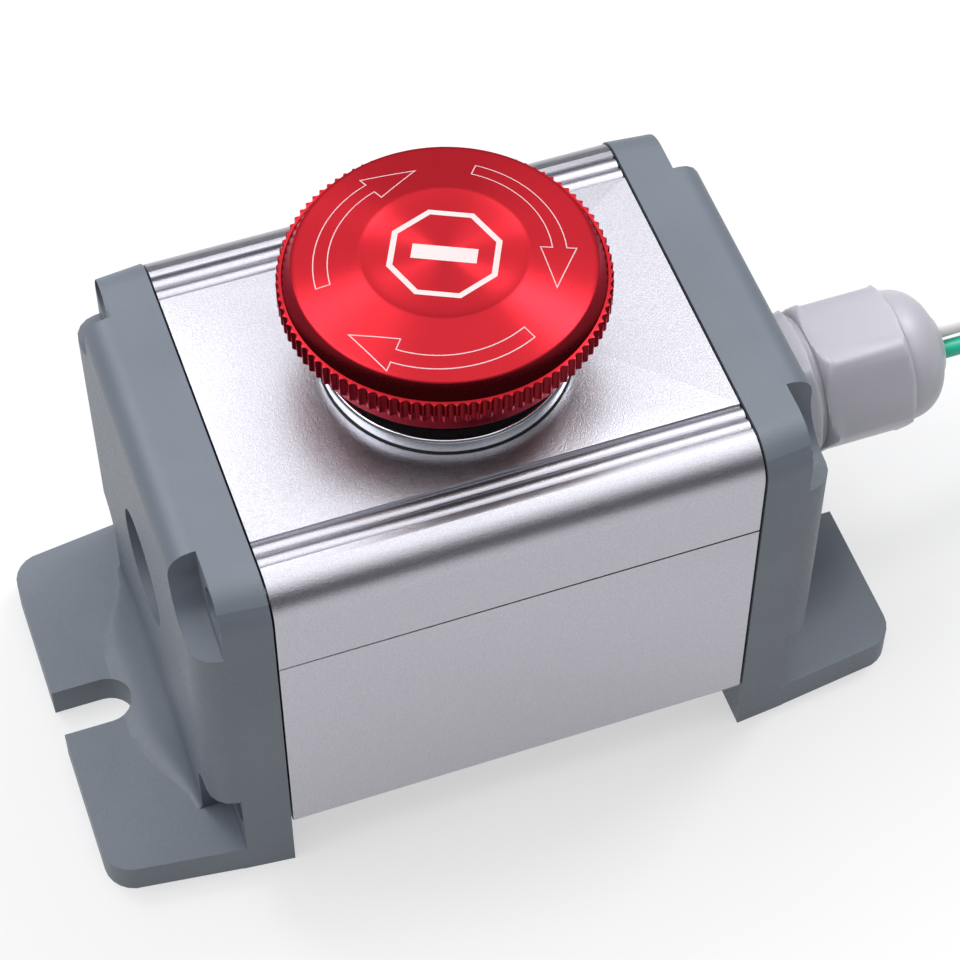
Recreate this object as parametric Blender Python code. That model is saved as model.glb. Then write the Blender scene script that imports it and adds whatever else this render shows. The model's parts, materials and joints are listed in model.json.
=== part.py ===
"""Emergency stop button: a twist-release mushroom button on an aluminium extrusion box.

The box is two channel extrusions closed by two moulded end caps with slotted feet.
X runs along the extrusion with the cable gland at +X, and the button's axis is +Z.
The origin is on the surface that the feet stand on, under the button's axis.
Sizes are in millimetres here and become metres when a mesh is made.
"""

import math

import bmesh
import bpy
from mathutils import Vector

MM = 0.001
GAP = 0.3

# Box
BOX_HALF_LENGTH = 30.75
BOX_HALF_WIDTH = 28.3
BOX_BOTTOM = 8.5
BOX_TOP = 58.9
SEAM = 44.4
WALL = 2.4
TOP_CORNER_RADIUS = 5.0
RIB_LINES = (19.6, 21.4, 23.2)
RIB_DEPTH = 0.55

# Cap screws, in the extrusions' corner ports
PORT_Y = 24.6
UPPER_PORT_Z = 55.2
LOWER_PORT_Z = 12.2
PORT_RADIUS = 3.3
SCREW_HOLE_RADIUS = 1.85
SCREW_SHANK_RADIUS = 1.5
SCREW_HEAD_RADIUS = 2.6
SCREW_HEAD_HEIGHT = 2.0
SCREW_SEAT = 33.1
SCREW_REACH = 12.0

# End caps, by distance out from the middle of the box
CAP_START = BOX_HALF_LENGTH + GAP
CAP_LEDGE = 37.1
CAP_FACE = 40.75
CAP_HALF_WIDTH = 28.5
CAP_TAPER = 0.1
CAP_TOP = 59.1
CAP_CORNER_RADIUS = 5.2
CAP_EDGE_RADIUS = 3.0
UPPER_NOTCH_RADIUS = 6.0
LOWER_NOTCH_RADIUS = 4.5
FOOT_END = 54.9
FOOT_THICKNESS = 4.8
FOOT_CORNER_RADIUS = 4.2
FOOT_FILLET = 6.0
FOOT_FILLET_END = 0.8
FOOT_FILLET_FADE = 7.0
SLOT_RADIUS = 3.4
SLOT_CENTRE = 48.3
CAP_POCKET_DEPTH = 4.0
BLANK_PORT_DEPTH = 2.6
GASKET_DEPTH = 1.0
GASKET_INSET = 0.9

# Cable gland, on the right cap's axis
GLAND_Z = 32.2
GLAND_THREAD_RADIUS = 7.4
GLAND_HOLE_RADIUS = 7.75
GLAND_FLAT = 9.5
GLAND_CORNER = 11.0
GLAND_THREAD_START = 30.0
GLAND_FLANGE = (43.05, 48.9)
GLAND_NECK_RADIUS = 7.6
GLAND_NECK_END = 59.6
GLAND_BORE = 4.9
NUT_START = 50.6
DOME_START = 62.0
DOME_END = 68.5
DOME_RADIUS = 8.9
OUTLET_RADIUS = 3.8

# Wires
WIRE_RADIUS = 1.25
WIRE_OFFSET = 0.9
WHITE_Z = 33.9
GREEN_Z = 31.6
WIRE_JOIN = 50.0
COIL_X = 118.0
COIL_Y = 18.5
COIL_OUTER_RADIUS = 17.4
COIL_INNER_RADIUS = 9.8
COIL_HEIGHT = 5.0
TIE_WIDTH = 2.4
TIE_THICKNESS = 0.8
FERRULE_X = COIL_X + 17.4
FERRULE_START = COIL_Y + 9.0
FERRULE_Z = 1.65

# Operator, by height
PANEL_HOLE_RADIUS = 11.15
BARREL_RADIUS = 10.8
BARREL_BOTTOM = 34.6
COLLAR_RADIUS = 12.2
COLLAR_TOP = 64.6
BODY_BORE = 9.8
BODY_FLANGE_RADIUS = 12.9
PANEL_GASKET_RADIUS = 15.75
PANEL_GASKET_THICKNESS = 0.5
WEB_TOP = 48.0
WEB_BOTTOM = 46.0
STEM_RADIUS = 4.0
STEM_BOTTOM = 38.3
STEM_TOP = 71.0
HUB_RADIUS = 9.3
HUB_BOTTOM = 60.0
HUB_TOP = 71.6
BEZEL_RADIUS = 16.1
BEZEL_RIM_RADIUS = 15.8
BEZEL_BORE = 13.25
BEZEL_TOP = 62.0
NUT_FLAT = 13.5
NUT_CORNER = 15.4
NUT_HEIGHT = 4.0
HEAD_RADIUS = 20.0
CROWN_RADIUS = 18.2
STEP_RADIUS = 19.25
SKIRT_RADIUS = 19.45
KNURL_TOP = 73.7
KNURL_BOTTOM = 70.5
HEAD_BOTTOM = 68.2
HEAD_TOP = 77.4
HEAD_CEILING = 71.9
HEAD_BORE = 16.8

# Contact block
BLOCK_HALF_X = 9.0
BLOCK_HALF_Y = 15.5
BLOCK_BOTTOM = 12.0
BLOCK_TOP = 31.3
BLOCK_WALL = 1.6
TERMINAL_Y = 11.6
TERMINAL_CENTRE = 12.0
BRIDGE_TOP = 23.7
BRIDGE_BOTTOM = 22.6
COVER_THICKNESS = 1.8
POST_X = 7.4
POST_Y = 13.8
COLLAR_BASE = 36.0
COLLAR_PLATE_TOP = 42.0

FINISHES = {
    "anodised_aluminium": ((0.72, 0.72, 0.76), 0.32, 1.0),
    "grey_nylon": ((0.20, 0.23, 0.26), 0.62, 0.0),
    "red_anodised": ((0.72, 0.02, 0.03), 0.30, 1.0),
    "chrome": ((0.80, 0.82, 0.86), 0.08, 1.0),
    "black_plastic": ((0.02, 0.02, 0.022), 0.45, 0.0),
    "white_nylon": ((0.78, 0.77, 0.82), 0.40, 0.0),
    "rubber": ((0.03, 0.03, 0.035), 0.75, 0.0),
    "steel": ((0.55, 0.55, 0.56), 0.30, 1.0),
    "brass": ((0.75, 0.58, 0.26), 0.30, 1.0),
    "contact_housing": ((0.55, 0.10, 0.08), 0.50, 0.0),
    "white_pvc": ((0.80, 0.80, 0.80), 0.45, 0.0),
    "green_pvc": ((0.02, 0.42, 0.28), 0.45, 0.0),
    "tie_black": ((0.03, 0.03, 0.03), 0.50, 0.0),
}


def clear_scene():
    for old in list(bpy.data.objects):
        bpy.data.objects.remove(old, do_unlink=True)


def finish_material(finish):
    """The finish's Principled material, made once."""
    known = bpy.data.materials.get(finish)
    if known:
        return known
    colour, roughness, metallic = FINISHES[finish]
    made = bpy.data.materials.new(finish)
    made.use_nodes = True
    shader = made.node_tree.nodes["Principled BSDF"]
    shader.inputs["Base Color"].default_value = (*colour, 1.0)
    shader.inputs["Roughness"].default_value = roughness
    shader.inputs["Metallic"].default_value = metallic
    return made


def place(name, bm, finish):
    """An object from a bmesh in millimetres, facing out and shaded smooth up to 30 degrees."""
    bmesh.ops.scale(bm, vec=(MM, MM, MM), verts=bm.verts)
    bmesh.ops.recalc_face_normals(bm, faces=bm.faces)
    mesh = bpy.data.meshes.new(name)
    bm.to_mesh(mesh)
    bm.free()
    mesh.shade_smooth()
    mesh.set_sharp_from_angle(angle=math.radians(30))
    mesh.materials.append(finish_material(finish))
    made = bpy.data.objects.new(name, mesh)
    bpy.context.scene.collection.objects.link(made)
    return made


def combine(target, tool_mesh, operation):
    """A Boolean on the target by a hidden tool made from a bmesh in millimetres."""
    tool = place(f"{target.name}_{operation.lower()}", tool_mesh, "steel")
    tool.hide_render = True
    tool.display_type = "WIRE"
    change = target.modifiers.new(operation.lower(), "BOOLEAN")
    change.operation = operation
    change.object = tool


def cut(target, tool_mesh):
    combine(target, tool_mesh, "DIFFERENCE")


def fuse(target, tool_mesh):
    combine(target, tool_mesh, "UNION")


def arc(centre, radius, start, end, steps):
    """Points on an arc, from start to end in degrees."""
    angles = [math.radians(start + (end - start) * i / steps) for i in range(steps + 1)]
    return [(centre[0] + radius * math.cos(a), centre[1] + radius * math.sin(a)) for a in angles]


def on_axes(along, first, second, distance):
    """A point from two outline coordinates and a distance along the third axis."""
    if along == "X":
        return (distance, first, second)
    if along == "Y":
        return (first, distance, second)
    return (first, second, distance)


def add_loft(bm, sections, along="X"):
    """A closed body through outlines with equal point counts: [(distance, outline), ...]."""
    rings = []
    for distance, outline in sections:
        rings.append([bm.verts.new(on_axes(along, a, b, distance)) for a, b in outline])
    count = len(rings[0])
    for near, far in zip(rings, rings[1:]):
        for i in range(count):
            j = (i + 1) % count
            bm.faces.new((near[i], near[j], far[j], far[i]))
    bm.faces.new(rings[0])
    bm.faces.new(rings[-1])
    return bm


def add_prism(bm, outline, low, high, along="X"):
    return add_loft(bm, [(low, outline), (high, outline)], along)


def hex_radius(flat, corner, angle):
    """Distance to a hexagon's edge at an angle, with its corners turned down to a circle."""
    folded = (angle + math.pi / 6) % (math.pi / 3) - math.pi / 6
    return min(flat / math.cos(folded), corner)


def add_turned(bm, profile, segments=32, along="Z", centre=(0.0, 0.0)):
    """A body turned about an axis through centre, from a closed profile.

    A profile point is (radius, height), or (flat radius, height, corner radius) on a hexagon,
    whose corners lie on the first cross axis.
    """
    rings = []
    for point in profile:
        radius, height = point[:2]
        corner = point[2] if len(point) > 2 else None
        if radius == 0:
            rings.append([bm.verts.new(on_axes(along, *centre, height))])
            continue
        ring = []
        for i in range(segments):
            angle = math.tau * i / segments
            reach = radius if corner is None else hex_radius(radius, corner, angle + math.pi / 6)
            first = centre[0] + reach * math.cos(angle)
            second = centre[1] + reach * math.sin(angle)
            ring.append(bm.verts.new(on_axes(along, first, second, height)))
        rings.append(ring)
    for near, far in zip(rings, rings[1:] + rings[:1]):
        for i in range(segments):
            j = (i + 1) % segments
            corners = [near[i % len(near)], near[j % len(near)], far[j % len(far)], far[i % len(far)]]
            corners = list(dict.fromkeys(corners))
            if len(corners) > 2:
                bm.faces.new(corners)
    return bm


def turned(name, finish, profile, segments=32, along="Z", centre=(0.0, 0.0)):
    return place(name, add_turned(bmesh.new(), profile, segments, along, centre), finish)


def tube_profile(inner, outer, low, high):
    return [(inner, low), (outer, low), (outer, high), (inner, high)]


def rectangle(low, high):
    return [(low[0], low[1]), (high[0], low[1]), (high[0], high[1]), (low[0], high[1])]


def add_cylinder(bm, centre, radius, low, high, along="X", segments=16):
    return add_turned(bm, [(0, low), (radius, low), (radius, high), (0, high)], segments, along, centre)


def smooth_route(points, steps):
    """A Catmull-Rom curve through the points, steps to a span."""
    route = []
    padded = [Vector(point) for point in (points[0], *points, points[-1])]
    for a, b, c, d in zip(padded, padded[1:], padded[2:], padded[3:]):
        for step in range(steps):
            t = step / steps
            bend = (2 * a - 5 * b + 4 * c - d) * t**2 + (3 * b - a - 3 * c + d) * t**3
            route.append(tuple(b + 0.5 * ((c - a) * t + bend)))
    return [*route, points[-1]]


def tube(name, finish, points, radius, resolution=2):
    """A round tube along points in millimetres, closed at both ends."""
    curve = bpy.data.curves.new(name, "CURVE")
    curve.dimensions = "3D"
    line = curve.splines.new("POLY")
    line.points.add(len(points) - 1)
    for spot, (x, y, z) in zip(line.points, points):
        spot.co = (x * MM, y * MM, z * MM, 1.0)
    curve.bevel_depth = radius * MM
    curve.bevel_resolution = resolution
    curve.use_fill_caps = True
    curve.materials.append(finish_material(finish))
    made = bpy.data.objects.new(name, curve)
    bpy.context.scene.collection.objects.link(made)
    return made


def helix(radius, bottom, top, turns, steps=14):
    """A compression spring's centreline about the button's axis."""
    count = int(turns * steps)
    route = []
    for i in range(count + 1):
        angle = math.tau * turns * i / count
        height = bottom + (top - bottom) * i / count
        route.append((radius * math.cos(angle), radius * math.sin(angle), height))
    return route


# ---------------------------------------------------------------- extruded box


def upper_shell_outline():
    """The upper channel's cross-section in Y and Z, with ribs along its top edges."""
    left = [(-BOX_HALF_WIDTH, SEAM + GAP / 2)]
    corner = (TOP_CORNER_RADIUS - BOX_HALF_WIDTH, BOX_TOP - TOP_CORNER_RADIUS)
    left += arc(corner, TOP_CORNER_RADIUS, 180, 90, 8)
    for outer, inner in ((RIB_LINES[2], RIB_LINES[1]), (RIB_LINES[1], RIB_LINES[0])):
        middle = (outer + inner) / 2
        half = (outer - inner) / 2
        left += [
            (-middle + half * math.cos(a), BOX_TOP - RIB_DEPTH + RIB_DEPTH * math.sin(a))
            for a in (math.pi * (1 - i / 6) for i in range(7))
        ]
    left.append((-RIB_LINES[0] + RIB_DEPTH / 2, BOX_TOP))
    left = list(dict.fromkeys(left))
    right = [(-y, z) for y, z in reversed(left)]
    inner_wall = BOX_HALF_WIDTH - WALL
    port = (PORT_Y, UPPER_PORT_Z)
    side_angle = math.degrees(math.asin((inner_wall - PORT_Y) / PORT_RADIUS))
    lip = (inner_wall + 1.2, SEAM + 1.3)
    inside = [(lip[0], SEAM + GAP / 2), lip, (inner_wall, lip[1])]
    inside += arc(port, PORT_RADIUS, -90 + side_angle, -180 - side_angle, 8)
    return left + right + inside + [(-y, z) for y, z in reversed(inside)]


def lower_shell_outline():
    """The lower channel's cross-section, with a tongue that the upper one fits over."""
    corner = (1.0 - BOX_HALF_WIDTH, BOX_BOTTOM + 1.0)
    inner_wall = BOX_HALF_WIDTH - WALL
    port = (-PORT_Y, LOWER_PORT_Z)
    side_angle = math.degrees(math.asin((inner_wall - PORT_Y) / PORT_RADIUS))
    tongue = inner_wall + 0.9
    left = arc(corner, 1.0, -90, -180, 4)
    left += [(-BOX_HALF_WIDTH, SEAM - GAP / 2), (-tongue, SEAM - GAP / 2)]
    left += [(-tongue, SEAM + 1.0), (-inner_wall, SEAM + 1.0)]
    left += arc(port, PORT_RADIUS, 90 + side_angle, 0 - side_angle, 8)
    return left + [(-y, z) for y, z in reversed(left)]


def port_holes(height):
    """The screw holes at both ends of a shell's two corner ports."""
    bm = bmesh.new()
    for side in (-1, 1):
        for end in (-1, 1):
            reach = sorted((end * (BOX_HALF_LENGTH + 1), end * (BOX_HALF_LENGTH - SCREW_REACH)))
            add_cylinder(bm, (side * PORT_Y, height), SCREW_HOLE_RADIUS, *reach)
    return bm


def make_shells():
    """The two channels, with the button's hole and the cap screws' holes."""
    span = (-BOX_HALF_LENGTH, BOX_HALF_LENGTH)
    upper_body = add_prism(bmesh.new(), upper_shell_outline(), *span)
    upper = place("upper_shell", upper_body, "anodised_aluminium")
    cut(upper, add_cylinder(bmesh.new(), (0, 0), PANEL_HOLE_RADIUS, BOX_TOP - 5, BOX_TOP + 1, "Z", 48))
    cut(upper, port_holes(UPPER_PORT_Z))
    lower_body = add_prism(bmesh.new(), lower_shell_outline(), *span)
    lower = place("lower_shell", lower_body, "anodised_aluminium")
    cut(lower, port_holes(LOWER_PORT_Z))


# ---------------------------------------------------------------- end caps


def cap_half_width(out):
    """The moulded cap narrows outwards by its draft."""
    return CAP_HALF_WIDTH - CAP_TAPER * (out - CAP_START)


def cap_outline(out, inset, bottom=0.0):
    """The cap's outline in Y and Z at a distance out, with its edge rounded in by inset."""
    half = cap_half_width(out) - inset
    radius = CAP_CORNER_RADIUS - inset
    top = CAP_TOP - inset
    right = [(half, bottom), *arc((half - radius, top - radius), radius, 0, 90, 7)]
    return right + [(-y, z) for y, z in reversed(right)]


def block_sections(side):
    """The cap's main block, rounded over at its outer edge."""
    sections = [(side * CAP_START, cap_outline(CAP_START, 0))]
    for step in range(5):
        angle = math.radians(90 * step / 4)
        out = CAP_FACE - CAP_EDGE_RADIUS * (1 - math.sin(angle))
        inset = CAP_EDGE_RADIUS * (1 - math.cos(angle))
        sections.append((side * out, cap_outline(out, inset)))
    return sections


def foot_outline(side):
    """The foot in X and Y, with rounded outer corners."""
    inner = CAP_LEDGE - 1
    centre = FOOT_END - FOOT_CORNER_RADIUS
    end_half = cap_half_width(FOOT_END)
    front = [(inner, cap_half_width(inner))]
    front += arc((centre, end_half - FOOT_CORNER_RADIUS), FOOT_CORNER_RADIUS, 90, 0, 6)
    whole = front + [(x, -y) for x, y in reversed(front)]
    return [(side * x, y) for x, y in whole]


def fillet_outline(side, radius):
    """The concave web between the end face and the foot, in X and Z."""
    reach = (CAP_FACE + radius, FOOT_THICKNESS + radius)
    curve = arc(reach, radius, 180, 270, 7)
    whole = [(CAP_FACE - 1, 2.0), (CAP_FACE - 1, reach[1]), *curve, (reach[0], 2.0)]
    return [(side * x, z) for x, z in whole]


def web_sections(side):
    """The web along Y: full in the middle and fading out towards both lower notches."""
    web_half = PORT_Y - LOWER_NOTCH_RADIUS
    steps = 5
    half = []
    for step in range(steps + 1):
        share = step / steps
        fade = 1 - share * share * (3 - 2 * share)
        radius = FOOT_FILLET_END + (FOOT_FILLET - FOOT_FILLET_END) * fade
        y = FOOT_FILLET_FADE + (web_half - FOOT_FILLET_FADE) * share
        half.append((y, fillet_outline(side, radius)))
    return [(-y, outline) for y, outline in reversed(half)] + half


def notch_cutters(side):
    """The four corner notches that take the cap screws' heads."""
    bm = bmesh.new()
    beyond = BOX_HALF_WIDTH + 4
    reach = sorted((side * CAP_LEDGE, side * (CAP_FACE + 2)))
    for flank in (-1, 1):
        upper = arc((PORT_Y, UPPER_PORT_Z), UPPER_NOTCH_RADIUS, 180, 270, 6)
        upper += [(beyond, UPPER_PORT_Z - UPPER_NOTCH_RADIUS), (beyond, CAP_TOP + 4)]
        upper += [(PORT_Y - UPPER_NOTCH_RADIUS, CAP_TOP + 4)]
        add_prism(bm, [(flank * y, z) for y, z in upper], *reach)
        lower = arc((PORT_Y, LOWER_PORT_Z), LOWER_NOTCH_RADIUS, 180, 90, 6)
        lower += [(beyond, LOWER_PORT_Z + LOWER_NOTCH_RADIUS), (beyond, FOOT_THICKNESS)]
        lower += [(PORT_Y - LOWER_NOTCH_RADIUS, FOOT_THICKNESS)]
        add_prism(bm, [(flank * y, z) for y, z in lower], *reach)
    return bm


def slot_cutter(side):
    """The foot's open-ended fixing slot."""
    half = arc((SLOT_CENTRE, 0), SLOT_RADIUS, 90, 270, 12)
    whole = half + [(FOOT_END + 2, -SLOT_RADIUS), (FOOT_END + 2, SLOT_RADIUS)]
    return add_prism(bmesh.new(), [(side * x, y) for x, y in whole], -1, FOOT_THICKNESS + 14, "Z")


def pocket_cutter(side):
    """The hollow in the cap's inner face, which leaves its screw corners solid."""
    quarter = [(24.0, 18.5), (24.0, 49.0), (18.5, 49.0), (18.5, 55.5)]
    lower = [(18.5, 12.0), (18.5, 18.5)]
    right = lower + quarter
    outline = right + [(-y, z) for y, z in reversed(right)]
    reach = sorted((side * (CAP_START - 1), side * (CAP_START + CAP_POCKET_DEPTH)))
    return add_prism(bmesh.new(), outline, *reach)


def screw_places():
    return [(y, z) for y in (-PORT_Y, PORT_Y) for z in (LOWER_PORT_Z, UPPER_PORT_Z)]


def make_cap(name, side):
    """One end cap: its block, foot and web, less the notches, slot, pocket and screw holes."""
    cap = place(name, add_loft(bmesh.new(), block_sections(side)), "grey_nylon")
    fuse(cap, add_prism(bmesh.new(), foot_outline(side), 0, FOOT_THICKNESS, "Z"))
    fuse(cap, add_loft(bmesh.new(), web_sections(side), "Y"))
    cut(cap, notch_cutters(side))
    cut(cap, slot_cutter(side))
    cut(cap, pocket_cutter(side))
    holes = bmesh.new()
    counterbores = bmesh.new()
    for spot in screw_places():
        shank_reach = sorted((side * (CAP_START - 1), side * (SCREW_SEAT + 1)))
        head_reach = sorted((side * SCREW_SEAT, side * (CAP_LEDGE + 1)))
        add_cylinder(holes, spot, SCREW_HOLE_RADIUS, *shank_reach)
        add_cylinder(counterbores, spot, SCREW_HEAD_RADIUS + GAP, *head_reach, "X", 20)
    cut(cap, holes)
    cut(cap, counterbores)
    cut(cap, gasket_sheet(side, CAP_START - 1, GASKET_INSET - GAP, GASKET_DEPTH))
    return cap


def gland_hole(start, end):
    return add_cylinder(bmesh.new(), (0, GLAND_Z), GLAND_HOLE_RADIUS, start, end, "X", 32)


def gasket_sheet(side, start, inset, depth):
    """A sheet just inside the cap's rim, from start to a depth in the mating face."""
    outline = cap_outline(CAP_START, inset, BOX_BOTTOM + inset)
    return add_prism(bmesh.new(), outline, *sorted((side * start, side * (CAP_START + depth))))


def make_gasket(name, side):
    """The cap's flat gasket, open in the middle and pierced for the screws."""
    sheet = gasket_sheet(side, CAP_START, GASKET_INSET, GASKET_DEPTH - GAP)
    gasket = place(name, sheet, "rubber")
    cut(gasket, pocket_cutter(side))
    holes = bmesh.new()
    for spot in screw_places():
        reach = sorted((side * (CAP_START - 1), side * (CAP_LEDGE + 1)))
        add_cylinder(holes, spot, SCREW_HOLE_RADIUS, *reach)
    cut(gasket, holes)


def make_end_caps():
    """Both caps: the right one is open for the gland, the left one has a blank recess there."""
    left = make_cap("left_end_cap", -1)
    cut(left, gland_hole(-CAP_FACE - 1, -CAP_FACE + BLANK_PORT_DEPTH))
    right = make_cap("right_end_cap", 1)
    cut(right, gland_hole(CAP_START - 1, CAP_FACE + 1))
    make_gasket("left_cap_gasket", -1)
    make_gasket("right_cap_gasket", 1)


def make_cap_screws():
    """Pan-head screws whose heads are sunk in the floors of the caps' corner notches."""
    seat = SCREW_SEAT + GAP
    tip = BOX_HALF_LENGTH - SCREW_REACH + 2
    for side, end in ((-1, "left"), (1, "right")):
        for number, spot in enumerate(screw_places(), 1):
            profile = [
                (0, tip),
                (SCREW_SHANK_RADIUS - 0.5, tip),
                (SCREW_SHANK_RADIUS, tip + 0.8),
                (SCREW_SHANK_RADIUS, seat),
                (SCREW_HEAD_RADIUS, seat),
                (SCREW_HEAD_RADIUS, seat + SCREW_HEAD_HEIGHT - 0.8),
                (SCREW_HEAD_RADIUS - 0.8, seat + SCREW_HEAD_HEIGHT),
                (1.0, seat + SCREW_HEAD_HEIGHT),
                (0.8, seat + 0.8),
                (0, seat + 0.8),
            ]
            profile = [(radius, side * height) for radius, height in profile]
            turned(f"{end}_cap_screw_{number}", "steel", profile, 12, "X", spot)


# ---------------------------------------------------------------- operator


def make_bezel():
    """The chrome ring round the operator's flange, and the gasket under them both."""
    gasket_bottom = BOX_TOP + GAP
    gasket_top = gasket_bottom + PANEL_GASKET_THICKNESS
    gasket = tube_profile(11.5, PANEL_GASKET_RADIUS, gasket_bottom, gasket_top)
    turned("panel_gasket", "rubber", gasket, 40)
    bottom = gasket_top + GAP
    ring = [
        (BEZEL_BORE, bottom),
        (BEZEL_RADIUS, bottom),
        (BEZEL_RADIUS, BEZEL_TOP - 0.3),
        (BEZEL_RIM_RADIUS, BEZEL_TOP),
        (BEZEL_BORE + 0.3, BEZEL_TOP),
        (BEZEL_BORE, BEZEL_TOP - 0.3),
    ]
    turned("bezel_ring", "chrome", ring, 48)


def make_operator_body():
    """The barrel that passes through the panel, with its flange and raised collar."""
    flange_bottom = BOX_TOP + GAP + PANEL_GASKET_THICKNESS + GAP
    flange_top = flange_bottom + 0.9
    socket_radius = BODY_BORE - 0.6
    profile = [
        (BARREL_RADIUS - 0.4, BARREL_BOTTOM),
        (BARREL_RADIUS, BARREL_BOTTOM + 0.4),
        (BARREL_RADIUS, flange_bottom),
        (BODY_FLANGE_RADIUS, flange_bottom),
        (BODY_FLANGE_RADIUS, flange_top),
        (COLLAR_RADIUS, flange_top),
        (COLLAR_RADIUS, COLLAR_TOP - 0.4),
        (COLLAR_RADIUS - 0.4, COLLAR_TOP),
        (BODY_BORE + 0.4, COLLAR_TOP),
        (BODY_BORE, COLLAR_TOP - 0.4),
        (BODY_BORE, WEB_TOP),
        (STEM_RADIUS + 0.4, WEB_TOP),
        (STEM_RADIUS + 0.4, WEB_BOTTOM),
        (socket_radius, WEB_BOTTOM),
        (socket_radius, BARREL_BOTTOM),
    ]
    turned("operator_body", "black_plastic", profile, 40)


def make_panel_fixings():
    """What clamps the operator under the panel."""
    ceiling = BOX_TOP - WALL
    bore = BARREL_RADIUS + 0.35
    washer = tube_profile(bore, NUT_FLAT, ceiling - 1.1, ceiling - GAP)
    turned("lock_washer", "steel", washer, 32)
    nut_top = ceiling - 1.4
    nut_bottom = nut_top - NUT_HEIGHT
    chamfer = 0.6
    nut = [
        (bore, nut_bottom),
        (NUT_FLAT, nut_bottom, NUT_CORNER - 2 * chamfer),
        (NUT_FLAT, nut_bottom + chamfer, NUT_CORNER),
        (NUT_FLAT, nut_top - chamfer, NUT_CORNER),
        (NUT_FLAT, nut_top, NUT_CORNER - 2 * chamfer),
        (bore, nut_top),
    ]
    turned("panel_nut", "steel", nut, 36)
    square = rectangle((-14.5, -BLOCK_HALF_Y), (14.5, BLOCK_HALF_Y))
    plate = add_prism(bmesh.new(), square, COLLAR_BASE, COLLAR_PLATE_TOP, "Z")
    collar = place("mounting_collar", plate, "black_plastic")
    hole = add_cylinder(bmesh.new(), (0, 0), bore, COLLAR_BASE - 1, COLLAR_PLATE_TOP + 1, "Z", 32)
    cut(collar, hole)


def make_stem():
    """The sliding stem with its retaining clip and latch collar, and the fixed latch ring."""
    groove = (44.7, 45.8)
    groove_radius = STEM_RADIUS - 0.9
    profile = [
        (0, STEM_BOTTOM),
        (STEM_RADIUS - 0.5, STEM_BOTTOM),
        (STEM_RADIUS, STEM_BOTTOM + 0.5),
        (STEM_RADIUS, groove[0]),
        (groove_radius, groove[0]),
        (groove_radius, groove[1]),
        (STEM_RADIUS, groove[1]),
        (STEM_RADIUS, STEM_TOP - 0.5),
        (STEM_RADIUS - 0.5, STEM_TOP),
        (0, STEM_TOP),
    ]
    turned("stem", "steel", profile, 24)
    clip = arc((0, 0), 5.6, 30, 330, 16) + arc((0, 0), groove_radius + GAP, 330, 30, 16)
    clip_body = add_prism(bmesh.new(), clip, groove[0] + GAP, groove[1] - 0.2, "Z")
    place("stem_circlip", clip_body, "steel")
    bore = STEM_RADIUS + GAP
    collar = [(bore, 41.6), (5.4, 41.6), (6.3, 42.4), (6.3, 43.2), (5.6, 43.9), (bore, 43.9)]
    turned("latch_collar", "brass", collar, 24)
    ring = [(6.9, 36.4), (8.9, 36.4), (8.9, 41.2), (7.6, 41.2), (6.9, 40.2)]
    turned("latch_ring", "steel", ring, 24)
    wire = 0.6
    clear = wire + 0.35
    coils = helix(7.2, WEB_TOP + clear, HUB_BOTTOM - clear, 4.0)
    tube("return_spring", "steel", coils, wire, 1)


def make_head():
    """The hub that slides in the collar, its seal and the mushroom head."""
    groove = (61.2, 62.8)
    groove_radius = HUB_RADIUS - 1.1
    flange = 69.6
    hub = [
        (STEM_RADIUS + GAP, HUB_BOTTOM),
        (HUB_RADIUS, HUB_BOTTOM),
        (HUB_RADIUS, groove[0]),
        (groove_radius, groove[0]),
        (groove_radius, groove[1]),
        (HUB_RADIUS, groove[1]),
        (HUB_RADIUS, flange),
        (11.5, flange),
        (11.5, HUB_TOP),
        (STEM_RADIUS + GAP, HUB_TOP),
    ]
    turned("head_hub", "black_plastic", hub, 32)
    middle = sum(groove) / 2
    seal = arc((HUB_RADIUS - GAP, middle), 0.5, 0, 315, 7)
    turned("hub_seal", "rubber", seal, 32)
    profile = [
        (0, 76.9),
        (8.2, 76.95),
        (9.6, 77.25),
        (10.2, HEAD_TOP),
        (14.2, 76.75),
        (17.9, 75.85),
        (CROWN_RADIUS, 75.6),
        (STEP_RADIUS, KNURL_TOP + 0.1),
        (HEAD_RADIUS - 0.15, KNURL_TOP),
        (HEAD_RADIUS, KNURL_TOP - 0.15),
        (HEAD_RADIUS, KNURL_BOTTOM),
        (SKIRT_RADIUS, KNURL_BOTTOM - 0.3),
        (SKIRT_RADIUS, HEAD_BOTTOM + 0.4),
        (SKIRT_RADIUS - 0.4, HEAD_BOTTOM),
        (HEAD_BORE + 0.4, HEAD_BOTTOM),
        (HEAD_BORE, HEAD_BOTTOM + 0.4),
        (HEAD_BORE, HEAD_CEILING - 1.0),
        (HEAD_BORE - 1.0, HEAD_CEILING),
        (0, HEAD_CEILING),
    ]
    turned("mushroom_head", "red_anodised", profile, 60)


# ---------------------------------------------------------------- contact block


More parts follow.
